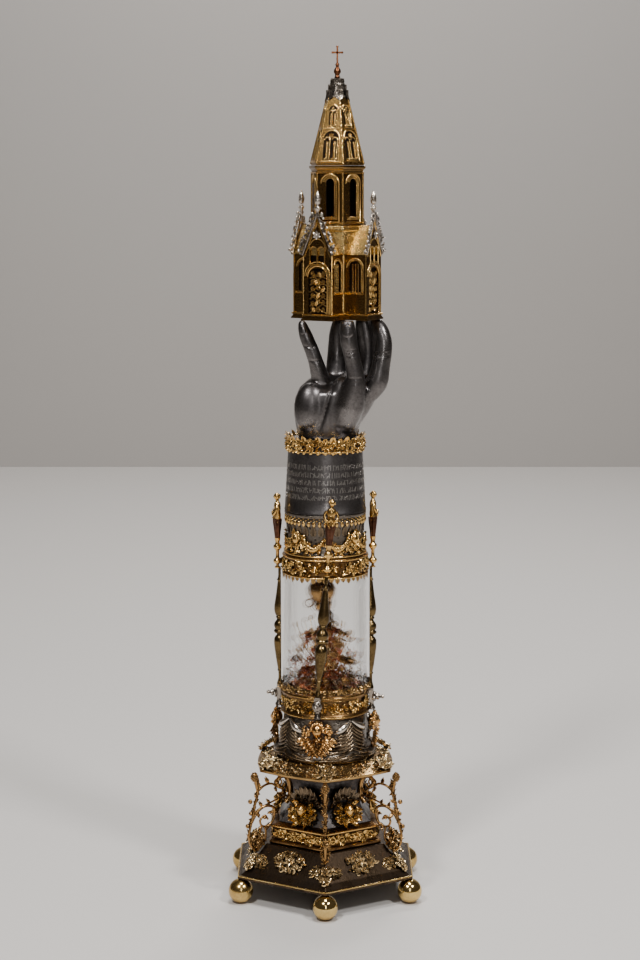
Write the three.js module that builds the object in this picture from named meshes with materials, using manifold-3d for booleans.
// An arm reliquary in gilt and tarnished silver. Six ball feet carry a hexagonal foot with a friezed
// plinth and a waisted core, scroll brackets and masks. A ledge and a winged drum carry a glass
// cylinder between two friezed rings and four balusters. Above them a drum with four herm figures, a
// sleeve and a lace collar end in an open hand, which holds a small church with a spire and a cross.
//
// Lengths are in millimetres, +Z is up and -Y is the front. The origin lies on the arm's axis, on the
// plane that the feet stand on. A corner radius is measured to a hexagon's corner.

import * as THREE from 'three';
import { mergeVertices } from 'three/addons/utils/BufferGeometryUtils.js';
import Module from 'manifold-3d';

const wasm = await Module();
wasm.setup();

const seat = 0.3; // clear gap between two pieces that touch
const hexSides = 6;
const fourFold = 4;
const roundSteps = 18; // steps around every round piece

// Ball feet
const ballRadius = 14;
const ballSpot = 3.5; // radius of the flat under and over each ball
const ballRise = Math.sqrt(ballRadius ** 2 - ballSpot ** 2);
const ballHeight = 2 * ballRise;

// Base plate
const baseCorner = 114;
const baseHeight = 36;
const baseRim = 3.2; // height of the upright edge
const baseShoulder = 103; // corner radius where the steeper slope begins
const baseShoulderRise = 9;
const baseTopCorner = 77;
const ballRing = baseCorner - 4;

// Applied clusters on the base
const mountThickness = 3.4;
const cornerMountSpan = 19; // half width
const cornerMountLength = 24;
const sideMountSpan = 23; // half width
const sideMountLength = 22;

// Frieze plinth
const plinthCorner = 73;
const plinthFrieze = 67.5;
const plinthHeight = 22.6;
const plinthMoulding = 3.6; // height of the lower moulding

// Waist core
const coreFoot = 60;
const coreWaist = 44.5;
const coreHead = 56;
const coreHeight = 60.6;

// Masks on the core
const maskWidth = 19;
const maskHeight = 34;
const maskDepth = 7;

// Scroll brackets on three corners
const bracketAngles = [0, 60, -60];
const bracketDepth = 7;
const bracketBand = 4.2; // width of the scrolled band
const budRadius = 4.6;

// Ledge plate
const ledgeCorner = 85;
const ledgeBow = 3.5; // how far each side bows out
const ledgeHeight = 12.6;
const ledgeEdge = 3.2;

// Winged drum
const drumTorus = 57.5;
const drumTorusHeight = 12;
const drumNeck = 45;
const drumHead = 47.5;
const drumHeight = 49;
const wingRise = 9;
const lowerTurn = -9.3; // degrees, the drum, the clamps and the balusters' feet stand a little round

// Cherubs on the winged drum
const cherubHead = 8.8;
const cherubDrop = 34.7; // from the crown of the head to the tip of the collar
const cherubReach = 55.6; // from the axis to the middle of the head

// Lower ring
const ringRadius = 50;
const ringFrieze = 46.5;
const ringHeight = 27.3;
const crestRise = 12; // leaves standing above the ring
const crestBand = 1; // thickness of the leaves

// Clamps that hold the balusters to the ring
const clampHeight = 25;
const clampWidth = 7.6;
const clampDepth = 5;
const screwRadius = 2.2;
const screwLength = 10;

// Glass cylinder
const glassFoot = 48.4; // outside radius at the lower end
const glassHead = 46.2;
const glassWall = 4.5;
const glassHeight = 131.4;

// Upper ring
const upperRingRadius = 48.2;
const upperFrieze = 46;
const upperRingHeight = 24;
const pendantDrop = 5;

// Balusters and herms
const balusterReach = 51.3; // from the arm's axis to the baluster's own
const balusterBack = 50.1; // from the arm's axis to the flat back
const balusterLean = 4.15; // degrees, each leans round the arm
const balusterSides = 6;
const hermOut = 2.5; // the herm stands this far outside its baluster
const hermKnob = 4.9;
const hermShoulder = 8.2;
const hermHead = 4;
const hermHeight = 87;

// Upper drum with its bead band
const upperDrumRadius = 43.6;
const upperDrumFoot = 45.6;
const upperDrumHeight = 47.4;
const drumHeadRise = 20.6;
const beadBand = 45.4;

// Sleeve and lace collar
const sleeveFoot = 45.9;
const sleeveHead = 41.7;
const sleeveHeight = 68.5;
const cuffNeck = 39.4; // radius of the stump inside the collar
const cuffHeight = 13.3;
const collarRadius = 43.4;
const collarWall = 1.8;
const collarHeight = 13;
const collarPoints = 5.5; // leaves that stand above the collar's band

// Hand
const handHeight = 132.6; // from the stump to the church's underside
const handShift = 4.5; // the wrist stands this far to the right of the axis

// Church
const churchShift = 13;
const churchTurn = -28.5; // degrees, the first porch faces left of the front
const trayHeight = 5.2;
const trayLip = 1.8;
const armLength = 45.5; // from the church's axis to a porch's front
const armHalf = 17.4;
const wallHeight = 67;
const roofRise = 31;
const gableRise = 44;
const gableWall = 2.4;
const crocket = 1.9;
const finialHeight = 28;
const recess = 2.2; // depth of doors and blind windows
const doorHalf = 11.6;
const doorHeight = 50;
const bayHalf = 7;
const bayHeight = 33;
const baySill = 24;

// Lantern, spire, crown and cross
const lanternTurn = 11.5; // degrees
const lanternCorner = 29.7;
const lanternWall = 1.8;
const lanternHeight = 59.5;
const eaveHeight = 4.6;
const eaveCorner = 32.8;
const skirtCorner = 35;
const skirtHeight = 31;
const windowHalf = 4.4;
const windowHeight = 42;
const windowSill = 9;
const spireFoot = 30.8;
const spireHead = 12;
const spireHeight = 73;
const lancetDepth = 1;
const lancetHalf = 7.5;
const lancetHeight = 27;
const lancetSill = 4;
const crownHeight = 20.5;
const crownFlare = 12.6;
const knopHeight = 16;
const crossHeight = 19;
const crossSpan = 11;
const crossBar = 2.6;

// Levels, each from the piece below it
const baseLevel = ballHeight + seat;
const plinthLevel = baseLevel + baseHeight + seat;
const coreLevel = plinthLevel + plinthHeight + seat;
const ledgeLevel = coreLevel + coreHeight + seat;
const drumLevel = ledgeLevel + ledgeHeight + seat;
const ringLevel = drumLevel + drumHeight + seat;
const glassLevel = ringLevel + ringHeight + seat;
const upperRingLevel = glassLevel + glassHeight + seat;
const upperDrumLevel = upperRingLevel + upperRingHeight + seat;
const sleeveLevel = upperDrumLevel + upperDrumHeight + seat;
const collarLevel = sleeveLevel + sleeveHeight + seat;
const handLevel = sleeveLevel + sleeveHeight + cuffHeight + seat;
const churchLevel = handLevel + handHeight + seat;
const lanternLevel = churchLevel + trayHeight + wallHeight + skirtHeight + seat;
const spireLevel = lanternLevel + lanternHeight + eaveHeight + seat;
const crownLevel = spireLevel + spireHeight + seat;
const crossLevel = crownLevel + crownHeight + seat;

const degree = Math.PI / 180;

// Finishes
function finish(color, roughness, metalness) {
  return new THREE.MeshStandardMaterial({ color, roughness, metalness });
}

const gilt = () => finish(0xb8893a, 0.32, 1);
const oldGilt = () => finish(0x7d5a28, 0.45, 1);
const darkSilver = () => finish(0x4a4646, 0.4, 1);
const silver = () => finish(0xa9a49c, 0.35, 1);
const polishedBrass = () => finish(0xc79a3e, 0.15, 1);

function clearGlass() {
  const material = finish(0xe8ecea, 0.05, 0);
  material.transparent = true;
  material.opacity = 0.35;
  return material;
}

const reliquary = new THREE.Group();

// Turns a closed geometry into a solid that can be cut and joined
function solid(geometry) {
  const bare = geometry.clone();
  bare.deleteAttribute('normal');
  bare.deleteAttribute('uv');
  const merged = mergeVertices(bare, 1e-4);
  const index = merged.index.array;
  const triVerts = [];
  for (let t = 0; t < index.length; t += 3) {
    const [a, b, c] = [index[t], index[t + 1], index[t + 2]];
    if (a !== b && b !== c && a !== c) triVerts.push(a, b, c);
  }
  return new wasm.Manifold(new wasm.Mesh({
    numProp: 3,
    vertProperties: new Float32Array(merged.attributes.position.array),
    triVerts: new Uint32Array(triVerts),
  }));
}

function joined(geometries) {
  return geometries.map(solid).reduce((whole, part) => whole.add(part));
}

function addPiece(parent, name, body, material) {
  const { vertProperties, triVerts } = body.getMesh();
  const geometry = new THREE.BufferGeometry();
  geometry.setAttribute('position', new THREE.BufferAttribute(new Float32Array(vertProperties), 3));
  geometry.setIndex(new THREE.BufferAttribute(new Uint32Array(triVerts), 1));
  geometry.computeVertexNormals();
  const mesh = new THREE.Mesh(geometry, material);
  mesh.name = name;
  parent.add(mesh);
  return mesh;
}

function turnedGroup(angle, x = 0) {
  const group = new THREE.Group();
  group.rotation.z = angle;
  group.position.x = x;
  reliquary.add(group);
  return group;
}

// A closed mesh made of stations around the axis. Each station's profile is a list of radius and
// height that runs from the axis to the axis, or that closes on itself.
function around(count, profileAt, hollow = false) {
  const positions = [];
  const index = [];
  let rows = 0;
  for (let i = 0; i < count; i++) {
    const angle = (i / count) * 2 * Math.PI;
    const profile = profileAt(angle, i);
    rows = profile.length;
    for (const [r, z] of profile) {
      positions.push(r * Math.sin(angle), -r * Math.cos(angle), z);
    }
  }
  const steps = hollow ? rows : rows - 1;
  for (let i = 0; i < count; i++) {
    for (let j = 0; j < steps; j++) {
      const a = i * rows + j;
      const b = i * rows + ((j + 1) % rows);
      const c = ((i + 1) % count) * rows + j;
      const d = ((i + 1) % count) * rows + ((j + 1) % rows);
      index.push(a, c, d, a, d, b);
    }
  }
  return meshOf(positions, index);
}

function meshOf(positions, index) {
  const geometry = new THREE.BufferGeometry();
  geometry.setAttribute('position', new THREE.Float32BufferAttribute(positions, 3));
  geometry.setIndex(index);
  return geometry;
}

// A profile of radius and rise that gets its two ends on the axis
function capped(profile, level = 0) {
  const lifted = profile.map(([r, z]) => [r, z + level]);
  return [[0, lifted[0][1]], ...lifted, [0, lifted.at(-1)[1]]];
}

function turned(profile, level = 0, count = roundSteps) {
  return around(count, () => capped(profile, level));
}

// Joins rings of points, each ordered counter-clockwise as seen from the last ring's side
function loft(rings) {
  const count = rings[0].length;
  const index = [];
  for (let r = 0; r < rings.length - 1; r++) {
    for (let i = 0; i < count; i++) {
      const a = r * count + i;
      const b = r * count + ((i + 1) % count);
      index.push(a, b, b + count, a, b + count, a + count);
    }
  }
  const top = (rings.length - 1) * count;
  for (let i = 1; i < count - 1; i++) {
    index.push(0, i + 1, i);
    index.push(top, top + i, top + i + 1);
  }
  return meshOf(rings.flat(2), index);
}

// A level oval ring of points
function oval(x, y, z, halfWidth, halfDepth, sides, squareness = 0) {
  const points = [];
  for (let i = 0; i < sides; i++) {
    const angle = (i / sides) * 2 * Math.PI;
    const bulge = 1 + squareness * Math.sin(2 * angle) ** 2;
    points.push([x + halfWidth * bulge * Math.cos(angle), y + halfDepth * bulge * Math.sin(angle), z]);
  }
  return points;
}

function ellipsoid(width, depth, height, columns = 8, rows = 5) {
  const geometry = new THREE.SphereGeometry(1, columns, rows);
  geometry.rotateX(Math.PI / 2);
  geometry.scale(width, depth, height);
  return geometry;
}

function boxOn(width, length, height, level) {
  const box = new THREE.BoxGeometry(width, length, height);
  box.translate(0, 0, level + height / 2);
  return box;
}

// A flat band of even depth that follows points of reach and height, in the plane of the front
function band(points, widthAt, depth, closedCurve = false) {
  const curve = new THREE.CatmullRomCurve3(points.map(([r, z]) => new THREE.Vector3(0, -r, z)), closedCurve);
  const steps = points.length - 1;
  const rings = [];
  for (let i = 0; i <= steps; i++) {
    const t = i / steps;
    const at = curve.getPoint(t);
    const along = curve.getTangent(t);
    const half = widthAt(t) / 2;
    const side = new THREE.Vector3(0, -along.z, along.y).multiplyScalar(half);
    rings.push([
      [-depth / 2, at.y + side.y, at.z + side.z],
      [depth / 2, at.y + side.y, at.z + side.z],
      [depth / 2, at.y - side.y, at.z - side.z],
      [-depth / 2, at.y - side.y, at.z - side.z],
    ]);
  }
  return loft(rings);
}

// A flat plate of the outline given by x and z, with its back at y = 0 and its face towards the front
function plate(outline, thickness) {
  const shape = new THREE.Shape(outline.map(([x, z]) => new THREE.Vector2(x, z)));
  const geometry = new THREE.ExtrudeGeometry(shape, { depth: thickness, bevelEnabled: false });
  geometry.rotateX(Math.PI / 2);
  return geometry;
}

// A pointed arch or a round one, as x and z points from the sill up
function arch(half, height, segments, point = 1) {
  const outline = [[-half, 0], [half, 0]];
  const spring = height - half * point;
  for (let i = 0; i <= segments; i++) {
    const angle = (i / segments) * Math.PI;
    outline.push([half * Math.cos(angle), spring + half * point * Math.sin(angle)]);
  }
  return outline;
}

// Ball feet
function ballFoot() {
  const profile = [];
  const steps = 4;
  const spotAngle = Math.asin(ballSpot / ballRadius);
  for (let i = 0; i <= steps; i++) {
    const angle = spotAngle + (i / steps) * (Math.PI - 2 * spotAngle);
    profile.push([ballRadius * Math.sin(angle), ballRise - ballRadius * Math.cos(angle)]);
  }
  return solid(turned(profile, 0, 8));
}

for (let i = 0; i < hexSides; i++) {
  const foot = addPiece(turnedGroup((i / hexSides) * 2 * Math.PI), `ball_foot_${i + 1}`, ballFoot(), polishedBrass());
  foot.position.y = -ballRing;
}

// Base plate, with an upright edge, a low shoulder and a steeper slope
const baseProfile = [
  [baseCorner - 1.5, 0],
  [baseCorner, 1],
  [baseCorner, baseRim],
  [baseCorner - 2, baseRim + 0.8],
  [baseShoulder, baseShoulderRise],
  [baseTopCorner, baseHeight],
];
addPiece(reliquary, 'base_plate', solid(turned(baseProfile, baseLevel, hexSides)), oldGilt());

// The clusters lie on the steeper slope, at its corners and on its sides
const slopeRun = baseShoulder - baseTopCorner;
const slopeClimb = baseHeight - baseShoulderRise;
const apothem = Math.cos(Math.PI / hexSides);

function leafyOutline(halfWidth, length, lobes) {
  const outline = [];
  const count = lobes * 2;
  for (let i = 0; i < count; i++) {
    const angle = (i / count) * 2 * Math.PI;
    const reach = i % 2 === 0 ? 1 : 0.78;
    outline.push([halfWidth * reach * Math.cos(angle), (length / 2) * reach * Math.sin(angle)]);
  }
  return outline;
}

function sideMount() {
  const leaf = plate(leafyOutline(sideMountSpan, sideMountLength, 4), mountThickness);
  const flower = loft([
    [-mountThickness * 0.5, 6.5], [-mountThickness * 2, 3],
  ].map(([y, r]) => oval(0, 0, 0, r, r, 6).map(([x, z]) => [x, y, z])));
  return joined([leaf, flower]);
}

for (let i = 0; i < hexSides; i++) {
  const group = turnedGroup(((i + 0.5) / hexSides) * 2 * Math.PI);
  const mount = addPiece(group, `side_mount_${i + 1}`, sideMount(), silver());
  const tilt = Math.atan2(slopeClimb, slopeRun * apothem);
  mount.rotation.x = -(Math.PI / 2 - tilt);
  const middle = (baseShoulder + baseTopCorner) / 2;
  mount.position.set(
    0,
    -middle * apothem - seat * Math.sin(tilt),
    baseLevel + (baseShoulderRise + baseHeight) / 2 + seat * Math.cos(tilt),
  );
}

// A corner cluster is a saddle over the ridge, so it is the slope's own hexagon grown outwards
function cornerMount() {
  const slope = (r) => [r, baseShoulderRise + ((baseShoulder - r) / slopeRun) * slopeClimb];
  const lower = slope(baseShoulder - seat);
  const upper = slope(baseShoulder - cornerMountLength * 0.75);
  const shell = (grow) => around(hexSides, () => capped([
    [lower[0] + grow, lower[1]],
    [upper[0] + grow, upper[1]],
  ], baseLevel));
  const outline = [
    [0, -baseShoulder - 6],
    [cornerMountSpan * 0.5, -baseShoulder + 4],
    [cornerMountSpan, -baseShoulder + cornerMountLength * 0.5],
    [cornerMountSpan * 0.6, -baseShoulder + cornerMountLength * 0.8],
    [0, -baseShoulder + cornerMountLength * 0.75],
    [-cornerMountSpan * 0.6, -baseShoulder + cornerMountLength * 0.8],
    [-cornerMountSpan, -baseShoulder + cornerMountLength * 0.5],
    [-cornerMountSpan * 0.5, -baseShoulder + 4],
  ];
  const shape = new THREE.Shape(outline.map(([x, y]) => new THREE.Vector2(x, y)));
  const column = new THREE.ExtrudeGeometry(shape, { depth: baseHeight * 2, bevelEnabled: false });
  const outer = solid(shell(mountThickness));
  const inner = solid(shell(seat));
  return outer.subtract(inner).intersect(solid(column));
}

for (let i = 0; i < hexSides; i++) {
  const group = turnedGroup((i / hexSides) * 2 * Math.PI);
  addPiece(group, `corner_mount_${i + 1}`, cornerMount(), silver());
}

// Frieze plinth
const plinthProfile = [
  [plinthCorner - 1, 0],
  [plinthCorner, 1],
  [plinthCorner, plinthMoulding - 1],
  [plinthFrieze, plinthMoulding + 1],
  [plinthFrieze, plinthHeight - 6.6],
  [plinthFrieze + 3, plinthHeight - 4.6],
  [plinthFrieze + 3, plinthHeight - 2.6],
  [coreFoot + 1, plinthHeight],
];
addPiece(reliquary, 'frieze_plinth', solid(turned(plinthProfile, plinthLevel, hexSides)), oldGilt());

// Waist core
const coreProfile = [
  [coreFoot, 0],
  [coreFoot - 6, 5],
  [coreWaist + 3, coreHeight * 0.3],
  [coreWaist, coreHeight * 0.55],
  [coreWaist + 1, coreHeight * 0.78],
  [coreHead - 3, coreHeight * 0.94],
  [coreHead, coreHeight],
];
const core = solid(turned(coreProfile, coreLevel, hexSides));
addPiece(reliquary, 'waist_core', core, darkSilver());

// A mask with a leafy surround stands before each face of the core
function mask() {
  const half = maskWidth / 2;
  const leaf = plate([
    [0, -maskHeight * 0.5],
    [half * 0.7, -maskHeight * 0.36],
    [half * 1.25, -maskHeight * 0.05],
    [half * 0.9, maskHeight * 0.28],
    [0, maskHeight * 0.5],
    [-half * 0.9, maskHeight * 0.28],
    [-half * 1.25, -maskHeight * 0.05],
    [-half * 0.7, -maskHeight * 0.36],
  ], maskDepth * 0.45);
  const face = ellipsoid(half * 0.8, maskDepth * 0.9, maskHeight * 0.3, 6, 3);
  face.translate(0, -maskDepth * 0.4, 0);
  return joined([leaf, face]);
}

const maskLean = Math.atan2(12, maskHeight);
for (let i = 0; i < hexSides; i++) {
  const group = turnedGroup(((i + 0.5) / hexSides) * 2 * Math.PI);
  const piece = addPiece(group, `mask_${i + 1}`, mask(), gilt());
  piece.rotation.x = -maskLean;
  piece.position.set(0, -coreWaist * apothem - 10.5, coreLevel + maskHeight * 0.5 + 1.4);
}

// Scroll brackets, drawn in their own plane as reach from the axis and height over the plate
// The brackets were drawn for a core waist of 44.5, a shoulder of 103 and a rise of 84.1 between the
// base plate and the ledge, and they follow those sizes.
const bracketRise = (ledgeLevel - baseLevel - baseHeight) / 84.1;
const bracketReach = (baseShoulder - coreWaist) / (103 - 44.5);
function scrollBracket() {
  const foot = baseLevel + baseHeight;
  const stem = [[91, 77], [88.5, 66], [88.5, 58], [92, 47], [94, 36], [97, 24], [99.5, 12], [97, 1],
    [91, -6.5], [84, -2], [78.5, 6], [78, 16]];
  const archBranch = [[88.5, 64], [80, 68], [70, 69], [61, 65], [56.5, 70], [62, 74.5], [66, 70]];
  const waistBranch = [[93, 38], [83, 43], [72, 47], [60, 50.5], [45.8, 53]];
  const volute = [[96.5, 27], [89, 38], [79, 44], [68, 41], [67, 30], [74, 21], [84, 25], [79, 32]];
  const lift = ([r, z]) => [coreWaist + (r - 44.5) * bracketReach, z * bracketRise + foot];
  const taper = (t) => bracketBand * (1 - 0.35 * t);
  const bud = ellipsoid(budRadius, budRadius, budRadius * 1.25, 6, 4);
  const [budReach, budLevel] = lift([92, 81]);
  bud.translate(0, -budReach, budLevel);
  return joined([
    band(stem.map(lift), taper, bracketDepth),
    band(archBranch.map(lift), taper, bracketDepth * 0.8),
    band(waistBranch.map(lift), taper, bracketDepth * 0.8),
    band(volute.map(lift), taper, bracketDepth * 0.9),
    bud,
  ]);
}

bracketAngles.forEach((angle, i) => {
  const group = turnedGroup(angle * degree);
  addPiece(group, `scroll_bracket_${i + 1}`, scrollBracket(), gilt());
});

// Ledge plate, a hexagon whose sides bow out
function bowed(corner, angle, bow = ledgeBow) {
  const side = (2 * Math.PI) / hexSides;
  const turn = ((angle % side) + side) % side - side / 2;
  const straight = (corner * apothem) / Math.cos(turn);
  return straight + bow * Math.cos((turn / (side / 2)) * (Math.PI / 2));
}

const ledgeProfile = (angle) => capped([
  [bowed(ledgeCorner - 1.5, angle), 0],
  [bowed(ledgeCorner, angle), 0.8],
  [bowed(ledgeCorner, angle), ledgeEdge],
  [bowed(ledgeCorner - 2.4, angle), ledgeEdge + 0.9],
  [bowed(ledgeCorner - 12, angle), ledgeHeight * 0.66],
  [drumTorus + 1.5, ledgeHeight],
], ledgeLevel);
addPiece(reliquary, 'ledge_plate', solid(around(hexSides * 3, ledgeProfile)), gilt());

// Winged drum: eight wings spread between four heads
function wing(angle) {
  const quarter = Math.PI / 2;
  const turn = ((angle % quarter) + quarter) % quarter;
  const near = Math.min(turn, quarter - turn) / (quarter / 2);
  return near < 0.45 ? 0 : 1;
}

const drumSteps = 20;
const drumProfile = (angle) => {
  const spread = wingRise * wing(angle);
  const rise = drumHeight - drumTorusHeight;
  return capped([
    [drumTorus - 2.5, 0],
    [drumTorus, drumTorusHeight * 0.4],
    [drumTorus - 1.5, drumTorusHeight * 0.8],
    [drumNeck + 3 + spread * 0.5, drumTorusHeight],
    [drumNeck + spread, drumTorusHeight + rise * 0.45],
    [drumHead + spread * 0.4, drumTorusHeight + rise * 0.8],
    [drumHead, drumHeight - 3],
    [drumHead, drumHeight],
  ], drumLevel);
};
const wingedDrum = solid(around(drumSteps, drumProfile));
const lowerGroup = turnedGroup(lowerTurn * degree);
addPiece(lowerGroup, 'winged_drum', wingedDrum, darkSilver());

// Cherub heads with curls and a leafy collar, on the drum's four quarters
function cherub() {
  const parts = [ellipsoid(cherubHead * 0.82, cherubHead * 0.9, cherubHead * 1.1, 6, 4)];
  for (const side of [-1, 1]) {
    const curls = ellipsoid(cherubHead * 0.72, cherubHead * 0.6, cherubHead * 0.8, 5, 3);
    curls.translate(side * cherubHead * 1.2, 1, -cherubHead * 0.2);
    parts.push(curls);
  }
  const collar = plate([
    [-cherubHead * 1.5, -cherubHead * 0.7],
    [-cherubHead * 0.9, -cherubHead * 1.7],
    [0, -cherubDrop + cherubHead * 1.1],
    [cherubHead * 0.9, -cherubHead * 1.7],
    [cherubHead * 1.5, -cherubHead * 0.7],
    [0, -cherubHead * 0.2],
  ], cherubHead * 1.1);
  collar.rotateX(-0.12);
  collar.translate(0, 4, 0);
  parts.push(collar);
  return joined(parts);
}

const cherubLevel = ringLevel - cherubHead * 1.1 - seat;
for (let i = 0; i < fourFold; i++) {
  const group = turnedGroup((i / fourFold) * 2 * Math.PI + lowerTurn * degree);
  const piece = addPiece(group, `cherub_${i + 1}`, cherub(), gilt());
  piece.position.set(0, -cherubReach, cherubLevel);
}

// Lower ring: mouldings, a frieze and a cresting of pointed leaves around the glass
const ringProfile = (angle, i) => {
  const tip = i % 2 === 0 ? crestRise : crestRise * 0.35;
  const inner = glassFoot + seat;
  return capped([
    [ringRadius, 0],
    [ringRadius, 5.5],
    [ringFrieze, 8],
    [ringFrieze, ringHeight - 10],
    [ringRadius + 0.3, ringHeight - 7.5],
    [inner + crestBand, ringHeight],
    [inner + crestBand, ringHeight + tip],
    [inner, ringHeight + tip],
    [inner, ringHeight],
  ], ringLevel);
};
addPiece(reliquary, 'lower_ring', solid(around(roundSteps, ringProfile)), gilt());

// Clamps with their screws, which carry the balusters outside the ring
const clampLevel = ringLevel + ringHeight - clampHeight - 0.1;
function clamp() {
  const inside = ringRadius + 0.3 + seat;
  const block = new THREE.BoxGeometry(clampWidth, clampDepth, clampHeight * 0.75);
  block.translate(0, -inside - clampDepth / 2, clampLevel + clampHeight * 0.625);
  const bell = new THREE.CylinderGeometry(clampWidth * 0.25, clampDepth * 0.7, clampHeight * 0.4, 5);
  bell.rotateX(Math.PI / 2);
  bell.translate(0, -inside - clampDepth * 0.72, clampLevel + clampHeight * 0.2);
  const boss = new THREE.CylinderGeometry(clampWidth * 0.6, clampWidth * 0.75, 3, 5);
  boss.translate(0, inside + clampDepth + 1, 0);
  const screw = new THREE.CylinderGeometry(screwRadius, screwRadius, screwLength, 4);
  screw.translate(0, inside + clampDepth + screwLength / 2, 0);
  for (const part of [boss, screw]) {
    part.rotateX(Math.PI);
    part.translate(0, 0, clampLevel + clampHeight * 0.62);
  }
  return joined([block, bell, boss, screw]);
}

for (let i = 0; i < fourFold; i++) {
  const group = turnedGroup((i / fourFold) * 2 * Math.PI + lowerTurn * degree);
  addPiece(group, `clamp_${i + 1}`, clamp(), silver());
}

// Glass cylinder, open at both ends, a little wider below
const glassProfile = () => [
  [glassFoot, glassLevel],
  [glassHead, glassLevel + glassHeight],
  [glassHead - glassWall, glassLevel + glassHeight],
  [glassFoot - glassWall, glassLevel],
];
addPiece(reliquary, 'glass_cylinder', solid(around(roundSteps, glassProfile, true)), clearGlass());

// Upper ring with a pendant cresting that hangs outside the glass
const upperProfile = (angle, i) => {
  const tip = i % 2 === 0 ? pendantDrop : pendantDrop * 0.3;
  const inner = glassHead + seat + 0.3;
  return capped([
    [inner, 0],
    [inner, -tip + 1],
    [inner + crestBand, -tip],
    [upperRingRadius + 0.2, 0],
    [upperFrieze, 5.5],
    [upperFrieze, upperRingHeight - 7],
    [upperRingRadius, upperRingHeight - 5],
    [upperRingRadius, upperRingHeight - 1.5],
    [upperDrumFoot, upperRingHeight],
  ], upperRingLevel);
};
addPiece(reliquary, 'upper_ring', solid(around(roundSteps, upperProfile)), gilt());

// Balusters with a flat back, each with a herm figure above it, which lean round the arm together
const balusterFoot = clampLevel + clampHeight + seat;
const balusterTop = upperRingLevel + 5.4;
const balusterLength = (balusterTop - balusterFoot) / Math.cos(balusterLean * degree);
const balusterProfile = [
  [3.9, 0], [2.3, 0.09], [7, 0.375], [3.8, 0.43], [7, 0.48], [3.5, 0.57],
  [6.6, 0.655], [2.6, 0.9], [2, 1],
].map(([r, share]) => [r, share * balusterLength]);

function baluster() {
  const whole = solid(turned(balusterProfile, 0, balusterSides));
  return whole.trimByPlane([0, -1, 0], balusterBack - balusterReach);
}

function herm() {
  const stations = [
    [2.6, 2.6, 0], [hermKnob, hermKnob, 8], [2.4, 2.4, 15], [4.8, 4.8, 24.5], [2.5, 2.5, 30.5],
    [4.8, 4.4, 54], [hermShoulder, 4.6, 70], [2.2, 2.2, 77], [hermHead * 0.9, hermHead, 83], [1.6, 1.6, hermHeight],
  ];
  return solid(loft(stations.map(([w, d, z]) => oval(0, 0, z, w, d, 6))));
}

for (let i = 0; i < fourFold; i++) {
  const group = turnedGroup((i / fourFold) * 2 * Math.PI);
  const leaning = new THREE.Group();
  leaning.rotation.y = balusterLean * degree;
  leaning.position.set(balusterReach * Math.tan(lowerTurn * degree), -balusterReach, balusterFoot);
  group.add(leaning);
  addPiece(leaning, `baluster_${i + 1}`, baluster(), gilt());
  const piece = addPiece(leaning, `herm_${i + 1}`, herm(), gilt());
  piece.position.set(0, -hermOut, balusterLength + seat);
}

// Upper drum with its bead band and four heads on the diagonals
const upperDrumProfile = [
  [upperDrumFoot, 0],
  [upperDrumFoot, 3],
  [upperDrumRadius - 1.4, 6],
  [upperDrumRadius, 32],
  [beadBand + 0.8, 35],
  [beadBand + 0.8, 43],
  [beadBand - 0.8, 45.5],
  [sleeveFoot + 0.6, upperDrumHeight - 2.4],
  [sleeveFoot + 0.6, upperDrumHeight],
];
const upperDrumParts = [turned(upperDrumProfile, upperDrumLevel)];
for (let i = 0; i < fourFold; i++) {
  const head = ellipsoid(6.6, 5, 7.2, 5, 4);
  head.translate(0, -upperDrumRadius, upperDrumLevel + drumHeadRise);
  head.rotateZ(((i + 0.5) / fourFold) * 2 * Math.PI);
  upperDrumParts.push(head);
}
addPiece(reliquary, 'upper_drum', joined(upperDrumParts), darkSilver());

// Sleeve, with a stump inside the collar
const sleeveProfile = [
  [sleeveFoot, 0],
  [sleeveHead, sleeveHeight],
  [cuffNeck, sleeveHeight],
  [cuffNeck - 1, sleeveHeight + cuffHeight],
];
addPiece(reliquary, 'sleeve', solid(turned(sleeveProfile, sleeveLevel)), darkSilver());

// Lace collar with leaves standing up and small points below
const collarProfile = (angle, i) => {
  const tip = [collarPoints, collarPoints * 0.2, collarPoints * 0.6][i % 3];
  const inner = cuffNeck + seat;
  return [
    [inner, collarLevel],
    [collarRadius, collarLevel],
    [collarRadius - 0.8, collarLevel + collarHeight],
    [collarRadius - 0.2, collarLevel + collarHeight + tip],
    [collarRadius - collarWall, collarLevel + collarHeight + tip],
    [collarRadius - collarWall - 0.8, collarLevel + collarHeight - 1],
  ];
};
addPiece(reliquary, 'lace_collar', solid(around(roundSteps, collarProfile, true)), gilt());

// Hand. Points are x to the right, depth towards the front, height over the stump and radius, all for
// the hand's own height, and they grow with it.
const handShare = handHeight / 130.6;
const thumb = [[14, 12, 18, 16], [22, 18, 38, 17], [27, 24, 56, 13], [28.3, 27, 70, 10.2], [26, 29, 84, 8.8],
  [23.3, 30, 96, 8.9], [21, 31, 108, 9.4], [19.6, 31, 118, 9], [18.8, 30, 130, 4]];
const indexFinger = [[42, 6, 46, 15], [52, 8, 62, 12.5], [56, 9, 78, 10.4], [59.4, 8, 102, 9.6], [56, 5, 117, 9.4],
  [50, 1, 130, 6]];
const middleFinger = [[34, -12, 50, 14], [40, -16, 70, 12], [43, -18, 92, 11], [42, -17, 110, 10.5], [39, -15, 130, 7]];
const ringFinger = [[6, -14, 52, 13], [7.5, -18, 72, 11.5], [8.5, -20, 94, 10.5], [9.5, -19, 112, 10], [11, -18, 130, 7]];
const littleFinger = [[-6, -2, 50, 13], [-10.5, 2, 68, 10], [-15, 4, 84, 8.4], [-19.5, 4.5, 97, 8], [-26, 4, 113, 7.6],
  [-29.8, 2.5, 129, 4]];
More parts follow.
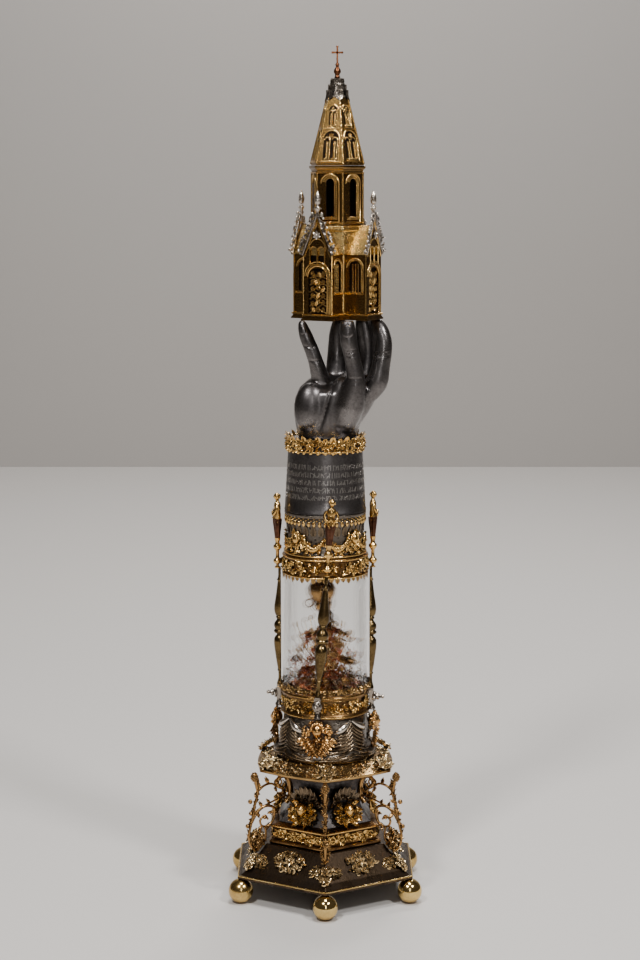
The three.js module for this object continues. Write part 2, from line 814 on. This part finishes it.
const palm = [[-2, 0, 32.5, 24, 0], [-2, 12, 35, 25, 0], [2, 27, 41, 27, 0], [7, 43, 45, 27, 2], [12, 55, 45, 26, 5],
  [17, 64, 41, 22, 8], [19, 67, 32, 14, 6]];
const heelBall = { middle: [-20, -12, 33], size: [19, 15, 29] };

function limb(points, sides = 6) {
  const known = points.map(([x, d, z]) => new THREE.Vector3(x, -d, z).multiplyScalar(handShare));
  const curve = new THREE.CatmullRomCurve3(known);
  const steps = points.length - 1;
  const rings = [];
  for (let i = 0; i <= steps; i++) {
    const at = curve.getPoint(i / steps);
    const along = curve.getTangent(i / steps);
    const across = new THREE.Vector3(0, 1, 0).cross(along).normalize();
    const out = along.clone().cross(across);
    const radius = points[i][3] * handShare;
    const ring = [];
    for (let k = 0; k < sides; k++) {
      const angle = (k / sides) * 2 * Math.PI;
      const p = at.clone()
        .addScaledVector(across, radius * Math.cos(angle))
        .addScaledVector(out, radius * Math.sin(angle));
      ring.push([p.x, p.y, p.z]);
    }
    rings.push(ring);
  }
  return loft(rings);
}

function hand() {
  const body = loft(palm.map(([x, z, width, depth, rise]) => {
    const ring = oval(x, 0, 0, width, depth, 14, 0.04);
    return ring.map(([px, py]) => [px * handShare, py * handShare, (z + (rise * py) / depth) * handShare]);
  }));
  const heel = ellipsoid(...heelBall.size.map((size) => size * handShare), 7, 4);
  heel.translate(...heelBall.middle.map((place) => place * handShare));
  const fingers = [thumb, indexFinger, middleFinger, ringFinger, littleFinger].map((points) => limb(points));
  const underChurch = solid(boxOn(3 * handHeight, 3 * handHeight, handHeight, 0));
  return joined([body, heel, ...fingers]).intersect(underChurch);
}

const handPiece = addPiece(reliquary, 'hand', hand(), darkSilver());
handPiece.position.set(handShift, 0, handLevel);

// Church: four gabled porches around a crossing
const churchTop = trayHeight + wallHeight;

function crossPrism(grow, height, level) {
  const along = boxOn(2 * (armHalf + grow), 2 * (armLength + grow), height, level);
  const over = boxOn(2 * (armLength + grow), 2 * (armHalf + grow), height, level);
  return [along, over];
}

function roof() {
  const outline = [[-armHalf - 0.6, churchTop - 0.6], [armHalf + 0.6, churchTop - 0.6], [0, churchTop + roofRise]];
  const prism = plate(outline, 2 * (armLength - 0.5));
  prism.translate(0, armLength - 0.5, 0);
  return prism;
}

function gable() {
  const outline = [[-armHalf - 1, churchTop - 3], [armHalf + 1, churchTop - 3]];
  const bumps = 2;
  for (const side of [1, -1]) {
    const steps = side === 1 ? [0, 1] : [1, 0];
    for (const k of steps) {
      const at = (share) => [
        side * (armHalf + 1) * (1 - share),
        churchTop - 1 + (gableRise + 1) * share,
      ];
      const low = at((k + 0.15) / bumps);
      const tip = at((k + 0.55) / bumps);
      const bump = [tip[0] + side * crocket, tip[1] + crocket * 0.6];
      outline.push(...(side === 1 ? [low, bump] : [bump, low]));
    }
    if (side === 1) outline.push([0, churchTop + gableRise]);
  }
  const wall = plate(outline, gableWall);
  wall.translate(0, -armLength + gableWall, 0);
  const finial = loft([
    [1.6, 0], [1.4, 0.4], [2.8, 0.65], [0.5, 1],
  ].map(([r, share]) => oval(0, -armLength + gableWall / 2, churchTop + gableRise - 6 + share * finialHeight, r, r, 4)));
  return [wall, finial];
}

function archCut(half, height, level, face, point = 1, segments = 4) {
  const cut = plate(arch(half, height, segments, point), recess + 2);
  cut.translate(0, -face + recess, level);
  return cut;
}

function church() {
  const solids = [
    ...crossPrism(trayLip, trayHeight * 0.6, 0),
    ...crossPrism(trayLip * 0.5, trayHeight * 0.45, trayHeight * 0.55),
    ...crossPrism(0, wallHeight, trayHeight),
  ];
  const cuts = [];
  for (let i = 0; i < fourFold; i++) {
    const turn = (i / fourFold) * 2 * Math.PI;
    const [wall, finial] = gable();
    for (const part of [wall, finial]) {
      part.rotateZ(turn);
      solids.push(part);
    }
    const door = archCut(doorHalf, doorHeight, trayHeight + 2, armLength, 1, 4);
    const bays = [-1, 1].map((side) => {
      const bay = archCut(bayHalf, bayHeight, trayHeight + baySill, armHalf, 1, 3);
      bay.translate(side * (armHalf + armLength) / 2, 0, 0);
      return bay;
    });
    for (const part of [door, ...bays]) {
      part.rotateZ(turn);
      cuts.push(part);
    }
  }
  for (const turn of [0, Math.PI / 2]) {
    const part = roof();
    part.rotateZ(turn);
    solids.push(part);
  }
  const skirt = turned([
    [skirtCorner, 0], [lanternCorner + 1.5, skirtHeight - 7], [lanternCorner + 1.5, skirtHeight - 4],
    [lanternCorner + 2.4, skirtHeight - 2], [lanternCorner + 0.5, skirtHeight],
  ], churchTop, hexSides);
  skirt.rotateZ((lanternTurn - churchTurn) * degree);
  solids.push(skirt);
  return joined(solids).subtract(joined(cuts));
}

const churchGroup = turnedGroup(churchTurn * degree, churchShift);
const churchPiece = addPiece(churchGroup, 'church', church(), gilt());
churchPiece.position.z = churchLevel;

// Lantern, a hollow hexagon with a window through each side
function lantern() {
  const shell = solid(turned([
    [lanternCorner, 0],
    [lanternCorner, lanternHeight - 2],
    [eaveCorner, lanternHeight + eaveHeight * 0.5],
    [eaveCorner, lanternHeight + eaveHeight],
  ], 0, hexSides));
  const inner = lanternCorner - lanternWall / apothem;
  const room = solid(turned([[inner, -1], [inner, lanternHeight + eaveHeight + 1]], 0, hexSides));
  let body = shell.subtract(room);
  for (let i = 0; i < hexSides / 2; i++) {
    const cut = plate(arch(windowHalf, windowHeight, 4), 4 * lanternCorner);
    cut.translate(0, 2 * lanternCorner, windowSill);
    cut.rotateZ(((i + 0.5) / hexSides) * 2 * Math.PI);
    body = body.subtract(solid(cut));
  }
  return body;
}

const spireGroup = turnedGroup(lanternTurn * degree, churchShift);
const lanternPiece = addPiece(spireGroup, 'lantern', lantern(), gilt());
lanternPiece.position.z = lanternLevel;

// Spire with a sunk lancet in each side
function spire() {
  let body = solid(turned([[spireFoot, 0], [spireFoot, 1.5], [spireHead, spireHeight]], 0, hexSides));
  const lean = Math.atan2((spireFoot - spireHead) * apothem, spireHeight);
  for (let i = 0; i < hexSides; i++) {
    const cut = plate(arch(lancetHalf, lancetHeight, 2, 1.6), 6);
    cut.translate(0, lancetDepth, lancetSill);
    cut.rotateX(-lean);
    cut.translate(0, -spireFoot * apothem, 0);
    cut.rotateZ(((i + 0.5) / hexSides) * 2 * Math.PI);
    body = body.subtract(solid(cut));
  }
  return body;
}
const spirePiece = addPiece(spireGroup, 'spire', spire(), gilt());
spirePiece.position.z = spireLevel;

// Leaf crown at the spire's head
const crownProfile = (angle, i) => capped([
  [spireHead - 0.5, 0],
  [spireHead - 2, crownHeight * 0.3],
  [i % 2 === 0 ? crownFlare : crownFlare * 0.8, crownHeight * 0.72],
  [i % 2 === 0 ? crownFlare * 0.9 : crownFlare * 0.6, crownHeight * 0.85],
  [4, crownHeight],
]);
const crownPiece = addPiece(spireGroup, 'leaf_crown', solid(around(hexSides * 2, crownProfile)), silver());
crownPiece.position.z = crownLevel;

// Knop and cross
function cross() {
  const knop = turned([
    [3.2, 0], [6, knopHeight * 0.25], [6.4, knopHeight * 0.45], [3, knopHeight * 0.7], [2.2, knopHeight],
  ], 0, 8);
  const upright = boxOn(crossBar, crossBar * 0.8, crossHeight, knopHeight - 0.5);
  const bar = boxOn(crossSpan, crossBar * 0.8, crossBar, knopHeight + crossHeight * 0.58);
  return joined([knop, upright, bar]);
}
const crossPiece = addPiece(reliquary, 'cross', cross(), oldGilt());
crossPiece.position.set(churchShift, 0, crossLevel);

export default reliquary;
